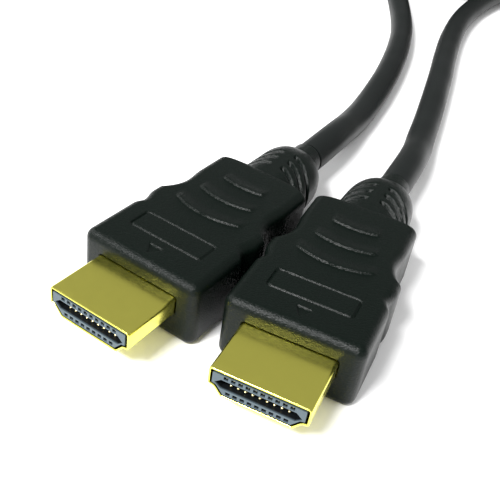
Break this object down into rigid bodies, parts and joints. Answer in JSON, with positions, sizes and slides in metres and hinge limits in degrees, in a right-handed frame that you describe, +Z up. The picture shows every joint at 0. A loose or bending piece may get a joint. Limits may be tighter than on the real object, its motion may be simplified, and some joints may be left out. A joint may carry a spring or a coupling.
{
  "type": "hdmi cable",
  "caption": "Digital audio and video lead with gold plated plugs moulded in black on both ends, its spare length folded into a tied hank.",
  "frame": {"origin": "middle of plug 1's flat underside, on the floor", "axes": "-Y out of plug 1's mating face, +Z up from the floor, +X to plug 1's right seen from behind its mating face"},
  "size_m": [0.0616, 0.2883, 0.0198],
  "materials": {
    "overmould": "black PVC moulding with a fine spark texture",
    "jacket": "smooth matt black PVC jacket",
    "shell": "gold plated sheet metal, satin",
    "contacts": "gold flashed spring contacts",
    "carrier": "blue-grey moulded insulator",
    "strap": "black hook and loop strap"
  },
  "bodies": {
    "root": {"plug_1_overmould": "overmould", "plug_1_shell": "shell", "plug_1_contact_carrier": "carrier", "plug_1_contact_01": "contacts", "plug_1_contact_02": "contacts", "plug_1_contact_03": "contacts", "plug_1_contact_04": "contacts", "plug_1_contact_05": "contacts", "plug_1_contact_06": "contacts", "plug_1_contact_07": "contacts", "plug_1_contact_08": "contacts", "plug_1_contact_09": "contacts", "plug_1_contact_10": "contacts", "plug_1_contact_11": "contacts", "plug_1_contact_12": "contacts", "plug_1_contact_13": "contacts", "plug_1_contact_14": "contacts", "plug_1_contact_15": "contacts", "plug_1_contact_16": "contacts", "plug_1_contact_17": "contacts", "plug_1_contact_18": "contacts", "plug_1_contact_19": "contacts", "plug_2_overmould": "overmould", "plug_2_shell": "shell", "plug_2_contact_carrier": "carrier", "plug_2_contact_01": "contacts", "plug_2_contact_02": "contacts", "plug_2_contact_03": "contacts", "plug_2_contact_04": "contacts", "plug_2_contact_05": "contacts", "plug_2_contact_06": "contacts", "plug_2_contact_07": "contacts", "plug_2_contact_08": "contacts", "plug_2_contact_09": "contacts", "plug_2_contact_10": "contacts", "plug_2_contact_11": "contacts", "plug_2_contact_12": "contacts", "plug_2_contact_13": "contacts", "plug_2_contact_14": "contacts", "plug_2_contact_15": "contacts", "plug_2_contact_16": "contacts", "plug_2_contact_17": "contacts", "plug_2_contact_18": "contacts", "plug_2_contact_19": "contacts", "cable_lead_1": "jacket", "cable_lead_2": "jacket", "cable_hank": "jacket", "hank_tie": "strap"}
  },
  "joints": []
}
